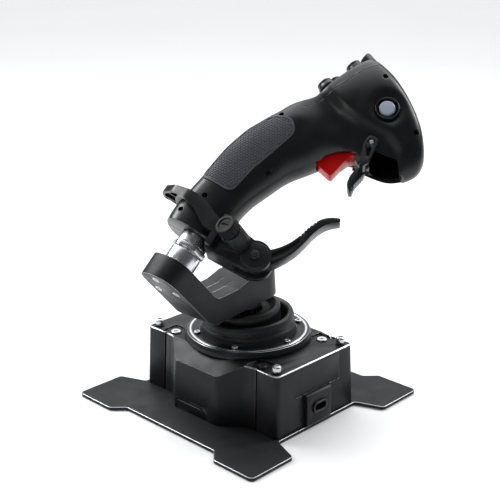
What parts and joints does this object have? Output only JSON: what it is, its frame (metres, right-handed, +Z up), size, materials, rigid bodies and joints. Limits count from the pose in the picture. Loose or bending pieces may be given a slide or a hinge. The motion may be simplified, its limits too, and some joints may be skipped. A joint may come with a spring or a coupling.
{
  "type": "flight joystick",
  "caption": "Desktop flight stick: square base with a gimbal and dust boots, a bent arm, and a right-handed pistol grip with red trigger, thumb hats and palm rest.",
  "frame": {"origin": "centre of the underside of the base plate, on the surface the joystick stands on", "axes": "+Z up; +Y away from the user, to the side with the socket; +X to the user's right, where the arm reaches"},
  "size_m": [0.2165, 0.205, 0.2762],
  "materials": {
    "dark_plate": "fine textured powder coat, dark grey",
    "dark_anodised": "satin dark grey anodising with worn bright edges",
    "polished_steel": "polished",
    "bright_steel": "machined, lightly brushed",
    "black_steel": "black oxide",
    "boot_rubber": "matt black",
    "pad_rubber": "grey rubber with a honeycomb texture",
    "black_plastic": "fine moulded satin black",
    "red_gloss": "glossy red",
    "pale_button": "satin pale blue grey",
    "circuit_board": "green solder mask"
  },
  "bodies": {
    "base": {"base_plate": "dark_plate", "base_housing": "dark_anodised", "side_hatch": "black_plastic", "port_block": "dark_anodised", "port_socket": "black_plastic", "flange_ring": "dark_anodised", "trim_ring": "polished_steel", "flange_screw_1": "bright_steel", "flange_screw_2": "bright_steel", "flange_screw_3": "bright_steel", "flange_screw_4": "bright_steel", "flange_screw_5": "bright_steel", "flange_screw_6": "bright_steel", "corner_screw_1": "black_steel", "corner_screw_2": "black_steel", "corner_screw_3": "black_steel", "corner_screw_4": "black_steel", "cover_screw_1": "black_steel", "cover_screw_2": "bright_steel", "cover_screw_3": "bright_steel", "cover_screw_4": "bright_steel", "gimbal_cradle": "bright_steel", "bearing_front": "bright_steel", "bearing_rear": "bright_steel", "roll_spring": "bright_steel", "main_board": "circuit_board", "outer_boot": "boot_rubber"},
    "yoke": {"gimbal_yoke": "bright_steel", "pitch_spring": "bright_steel"},
    "stick": {"stick_shaft": "bright_steel", "inner_boot": "boot_rubber", "offset_arm": "dark_anodised", "arm_screw_1": "bright_steel", "arm_screw_2": "bright_steel", "arm_screw_3": "bright_steel", "lower_collar": "polished_steel", "lock_nut": "polished_steel", "upper_collar": "polished_steel", "grip_left_shell": "black_plastic", "grip_right_shell": "black_plastic", "left_pad": "pad_rubber", "right_pad": "pad_rubber", "top_cover": "black_plastic", "flip_pin": "bright_steel", "side_bezel": "black_plastic", "paddle_bracket": "dark_anodised", "paddle_pin": "bright_steel"},
    "hat_left_tilt": {"hat_left_pivot": "bright_steel"},
    "hat_left_cap": {"hat_left": "black_plastic"},
    "hat_right_tilt": {"hat_right_pivot": "bright_steel"},
    "hat_right_cap": {"hat_right": "black_plastic"},
    "hat_top_tilt": {"hat_top_pivot": "bright_steel"},
    "hat_top_cap": {"hat_top": "black_plastic"},
    "thumb_button": {"thumb_button": "black_plastic"},
    "trigger": {"trigger": "red_gloss"},
    "flip_trigger": {"flip_trigger": "black_plastic"},
    "side_button": {"side_button": "pale_button"},
    "paddle_lever": {"paddle_lever": "black_plastic"},
    "palm_rest": {"palm_rest": "black_plastic"},
    "clamp_knob": {"clamp_knob": "black_plastic"}
  },
  "joints": [
    {"name": "roll", "type": "hinge", "parent": "base", "child": "yoke", "pos_m": [0, 0, 0.045], "axis": [0, 1, 0], "range_deg": [-20, 10], "stiffness_Nm_per_rad": 3, "springref_deg": -2.98, "deforming": ["outer_boot", "roll_spring"]},
    {"name": "pitch", "type": "hinge", "parent": "yoke", "child": "stick", "pos_m": [0, 0, 0.045], "axis": [0.9962, 0, -0.0872], "range_deg": [-15, 15], "stiffness_Nm_per_rad": 3, "springref_deg": 1.17, "deforming": ["inner_boot", "pitch_spring"]},
    {"name": "hat_left_up_down", "type": "hinge", "parent": "stick", "child": "hat_left_tilt", "pos_m": [-0.07898, 0.02919, 0.24401], "axis": [-0.5852, -0.4848, -0.65], "range_deg": [-5, 5], "stiffness_Nm_per_rad": 0.06},
    {"name": "hat_left_left_right", "type": "hinge", "parent": "hat_left_tilt", "child": "hat_left_cap", "pos_m": [-0.07898, 0.02919, 0.24401], "axis": [-0.8104, 0.3771, 0.4484], "range_deg": [-5, 5], "stiffness_Nm_per_rad": 0.06},
    {"name": "hat_right_up_down", "type": "hinge", "parent": "stick", "child": "hat_right_tilt", "pos_m": [-0.0629, 0.0319, 0.24627], "axis": [-0.5852, -0.4848, -0.65], "range_deg": [-5, 5], "stiffness_Nm_per_rad": 0.06},
    {"name": "hat_right_left_right", "type": "hinge", "parent": "hat_right_tilt", "child": "hat_right_cap", "pos_m": [-0.0629, 0.0319, 0.24627], "axis": [-0.8104, 0.3771, 0.4484], "range_deg": [-5, 5], "stiffness_Nm_per_rad": 0.06},
    {"name": "hat_top_up_down", "type": "hinge", "parent": "stick", "child": "hat_top_tilt", "pos_m": [-0.09247, 0.03761, 0.25603], "axis": [-0.5852, -0.4848, -0.65], "range_deg": [-5, 5], "stiffness_Nm_per_rad": 0.06},
    {"name": "hat_top_left_right", "type": "hinge", "parent": "hat_top_tilt", "child": "hat_top_cap", "pos_m": [-0.09247, 0.03761, 0.25603], "axis": [-0.8104, 0.3771, 0.4484], "range_deg": [-5, 5], "stiffness_Nm_per_rad": 0.06},
    {"name": "thumb_press", "type": "slide", "parent": "stick", "child": "thumb_button", "axis": [0.0277, 0.7892, -0.6136], "range_m": [0, 0.0012], "stiffness_N_per_m": 350, "springref_m": -0.001},
    {"name": "trigger_pull", "type": "hinge", "parent": "stick", "child": "trigger", "pos_m": [-0.05831, 0.06385, 0.2057], "axis": [-0.5852, -0.4848, -0.65], "range_deg": [0, 10], "stiffness_Nm_per_rad": 0.2, "springref_deg": -5.73},
    {"name": "flip_trigger_fold", "type": "hinge", "parent": "stick", "child": "flip_trigger", "pos_m": [-0.06302, 0.06953, 0.2057], "axis": [0.5852, 0.4848, 0.65], "range_deg": [0, 40]},
    {"name": "side_button_press", "type": "slide", "parent": "stick", "child": "side_button", "axis": [-0.5852, -0.4848, -0.65], "range_m": [0, 0.0015], "stiffness_N_per_m": 350, "springref_m": -0.001},
    {"name": "paddle_squeeze", "type": "hinge", "parent": "stick", "child": "paddle_lever", "pos_m": [0.03629, 0.04321, 0.13591], "axis": [0.5852, 0.4848, 0.65], "range_deg": [0, 16], "stiffness_Nm_per_rad": 0.3, "springref_deg": -5.73},
    {"name": "palm_rest_height", "type": "slide", "parent": "stick", "child": "palm_rest", "axis": [-0.7431, 0, 0.6691], "range_m": [0, 0.01]},
    {"name": "knob_turn", "type": "hinge", "parent": "stick", "child": "clamp_knob", "pos_m": [0.04955, 0.03759, 0.15586], "axis": [0.669, 0.0175, 0.743], "range_deg": [-180, 180]}
  ]
}
